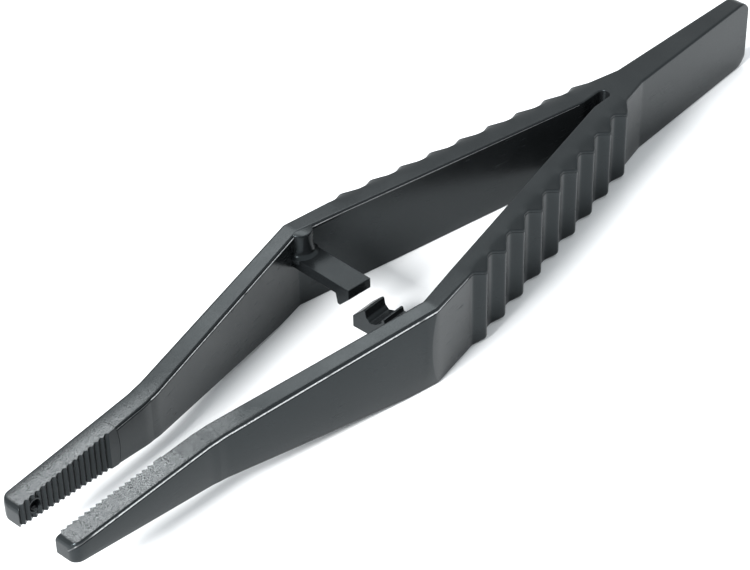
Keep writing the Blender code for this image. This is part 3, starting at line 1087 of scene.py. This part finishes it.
def make_scratch_group():
    """Fine handling scratches, slanting down the side faces, with broad uneven sheen."""
    group, into, out = new_group(
        "scratches",
        [("Place", "NodeSocketVector")],
        [("Scratch", "NodeSocketFloat"), ("Sheen", "NodeSocketFloat")],
    )
    place = into.outputs["Place"]
    slanted = add(
        group,
        "ShaderNodeMapping",
        in_Vector=place,
        in_Rotation=(0.0, SCRATCH_SLANT, 0.0),
        in_Scale=SCRATCH_SCALE,
    )
    thin = ramped(group, noise(group, slanted.outputs[0], *SCRATCH_NOISE), *SCRATCH_RAMP)
    where = ramped(group, noise(group, place, *PATCH_NOISE), *PATCH_RAMP)
    group.links.new(maths(group, "MULTIPLY", thin, where), out.inputs["Scratch"])
    group.links.new(noise(group, place, *SHEEN_NOISE), out.inputs["Sheen"])
    return group


def new_material(name):
    """A material, its node tree, its shader and its texture coordinates."""
    material = bpy.data.materials.new(name)
    material.use_nodes = True
    tree = material.node_tree
    return material, tree, tree.nodes["Principled BSDF"], tree.nodes.new("ShaderNodeTexCoord")


def mixed(tree, factor, first, second):
    """The mix of two colours. The first may be a socket."""
    made = add(tree, "ShaderNodeMix", data_type="RGBA")
    tree.links.new(factor, made.inputs["Factor"])
    if isinstance(first, bpy.types.NodeSocket):
        tree.links.new(first, made.inputs["A"])
    else:
        made.inputs["A"].default_value = first
    made.inputs["B"].default_value = second
    return made.outputs["Result"]


def make_black(name, groups, coarse, eroded, scratch):
    """The black plastic in one finish."""
    material, tree, shader, coords = new_material(name)
    place = coords.outputs["Object"]
    start, end = eroded
    zones = add(
        tree,
        "ShaderNodeGroup",
        node_tree=groups["zones"],
        in_Place=place,
        in_Facing=coords.outputs["Normal"],
        in_Start=start,
        in_End=end,
    )
    grain = add(
        tree,
        "ShaderNodeGroup",
        node_tree=groups["grain"],
        in_Place=place,
        in_Mask=zones.outputs["Eroded_and_glints"],
        in_Coarse=coarse,
    )
    marks = add(tree, "ShaderNodeGroup", node_tree=groups["scratches"], in_Place=place)
    sheen = marks.outputs["Sheen"]

    tint = mixed(tree, sheen, BLACK, WORN_BLACK)
    # Painted glints: pale specks on the up-facing grain, fading in towards the tips
    glint_specks = maths(tree, "MULTIPLY", grain.outputs["Painted_glints"], zones.outputs["Eroded_and_glints"])
    tree.links.new(mixed(tree, glint_specks, tint, SPECK_GLINT), shader.inputs["Base Color"])

    drift = maths(tree, "MULTIPLY", maths(tree, "SUBTRACT", sheen, 0.5), ROUGHNESS_DRIFT)
    level = maths(tree, "ADD", drift, ROUGHNESS)
    side = maths(tree, "SUBTRACT", 1.0, zones.outputs["Top"])
    scratched = maths(tree, "MULTIPLY", marks.outputs["Scratch"], side)
    rough = maths(tree, "ADD", level, maths(tree, "MULTIPLY", scratched, scratch), clamp=True)
    tree.links.new(rough, shader.inputs["Roughness"])

    scored = maths(tree, "MULTIPLY", scratched, -scratch)
    height = maths(tree, "ADD", grain.outputs["Height"], scored)
    bump = add(
        tree, "ShaderNodeBump", in_Height=height, in_Strength=1.0, in_Distance=BUMP_DISTANCE
    )
    tree.links.new(bump.outputs[0], shader.inputs["Normal"])
    shader.inputs["IOR"].default_value = IOR
    shader.inputs["Specular IOR Level"].default_value = SPECULAR_LEVEL
    shader.inputs["Specular Tint"].default_value = SPECULAR_TINT
    return material


def make_flash():
    """The thin burr of the parting line, with a painted highlight: pale beads where the ridge
    catches the light.
    """
    material, tree, shader, coords = new_material("parting_flash")
    place = coords.outputs["Object"]
    # Pale beads: a painted highlight along the ridge, faint on the grip and stopped short of the
    # tip
    beads = ramped(tree, noise(tree, place, *BEAD_NOISE), *BEAD_RAMP)
    broad = ramped(tree, noise(tree, place, *FLASH_HIGHLIGHT_NOISE), *FLASH_HIGHLIGHT_RAMP)
    amount = maths(tree, "MULTIPLY", beads, broad)
    along = add(tree, "ShaderNodeSeparateXYZ", in_Vector=place).outputs["X"]
    grown = maths(tree, "MULTIPLY", ramped(tree, along, *FLASH_HIGHLIGHT_START), 1.0 - FLASH_HIGHLIGHT_FAINT)
    kept = maths(tree, "ADD", grown, FLASH_HIGHLIGHT_FAINT)
    kept = maths(tree, "SUBTRACT", kept, ramped(tree, along, *FLASH_HIGHLIGHT_STOP), clamp=True)
    colour = mixed(tree, maths(tree, "MULTIPLY", amount, kept), FLASH_DARK, FLASH_HIGHLIGHT)
    tree.links.new(colour, shader.inputs["Base Color"])
    shader.inputs["Roughness"].default_value = FLASH_ROUGHNESS
    return material


def make_materials():
    groups = {
        "grain": make_grain_and_glint_group(),
        "zones": make_zone_group(),
        "scratches": make_scratch_group(),
    }
    finishes = (
        ("matte_black", "matte_black_plastic", 0.0, NOWHERE, LIGHT_SCRATCHES),
        ("satin_black", "satin_black_plastic", COARSE_GRAIN, JAW_TOPS, DEEP_SCRATCHES),
        ("spark_black", "spark_eroded_black_plastic", COARSE_GRAIN, JAW_TOPS, LIGHT_SCRATCHES),
    )
    made = {slot: make_black(name, groups, *rest) for slot, name, *rest in finishes}
    made["flash"] = make_flash()
    return made


# Stage

FLOOR_SIZE = 4.0
FLOOR_COLOUR = (0.83, 0.84, 0.85, 1)
WORLD_COLOUR = (0.94, 0.98, 1.0, 1)
WORLD_STRENGTH = 0.95
CAMERA_LENS = 120.08
CAMERA_PLACE = (0.181547, 0.155647, 0.195244)
CAMERA_TURN = (0.374478, 0.169027, 0.394427, 0.821963)


def make_floor():
    bm = bmesh.new()
    bmesh.ops.create_grid(bm, x_segments=1, y_segments=1, size=FLOOR_SIZE)
    mesh = bpy.data.meshes.new("floor")
    bm.to_mesh(mesh)
    bm.free()
    floor = bpy.data.objects.new("floor", mesh)
    bpy.context.scene.collection.objects.link(floor)
    paint = bpy.data.materials.new("pale_floor")
    paint.use_nodes = True
    shader = paint.node_tree.nodes["Principled BSDF"]
    shader.inputs["Base Color"].default_value = FLOOR_COLOUR
    shader.inputs["Roughness"].default_value = 0.9
    shader.inputs["Specular IOR Level"].default_value = 0.0
    mesh.materials.append(paint)


def area_light(name, place, target, size, power):
    """A rectangular light that faces a target."""
    data = bpy.data.lights.new(name, "AREA")
    data.shape = "RECTANGLE"
    data.size, data.size_y = size
    data.energy = power
    lamp = bpy.data.objects.new(name, data)
    bpy.context.scene.collection.objects.link(lamp)
    lamp.location = place
    lamp.rotation_mode = "QUATERNION"
    lamp.rotation_quaternion = (Vector(target) - Vector(place)).to_track_quat("-Z", "Y")


def make_light():
    world = bpy.data.worlds.new("studio")
    bpy.context.scene.world = world
    world.use_nodes = True
    back = world.node_tree.nodes["Background"]
    back.inputs["Color"].default_value = WORLD_COLOUR
    back.inputs["Strength"].default_value = WORLD_STRENGTH
    area_light(
        "overhead_panel",
        place=(-0.61, -0.62, 0.95),
        target=(-0.61, -0.62, 0.0),
        size=(0.24, 0.6),
        power=3.6,
    )
    area_light(
        "tip_side_softbox",
        place=(1.05, -0.01, 0.6),
        target=(0.0, 0.0, 0.0),
        size=(0.4, 0.4),
        power=40.0,
    )


def make_camera():
    data = bpy.data.cameras.new("camera")
    camera = bpy.data.objects.new("camera", data)
    bpy.context.scene.collection.objects.link(camera)
    data.sensor_width = 36.0
    data.lens = CAMERA_LENS
    data.clip_start = 0.01
    data.clip_end = 20.0
    camera.location = CAMERA_PLACE
    camera.rotation_mode = "QUATERNION"
    camera.rotation_quaternion = CAMERA_TURN
    bpy.context.scene.camera = camera


def main():
    materials = make_materials()
    make_tail(materials)
    for label, side in (("left", LEFT), ("right", RIGHT)):
        make_grip(label, side, materials)
        make_arm(label, side, materials)
        make_jaw(label, side, materials)
        make_pad(label, side, materials)
    make_peg(materials)
    make_latch_bar(materials)
    make_post(materials)
    make_catch(materials)
    make_floor()
    make_light()
    make_camera()
    bpy.context.scene.view_settings.view_transform = "Standard"


main()
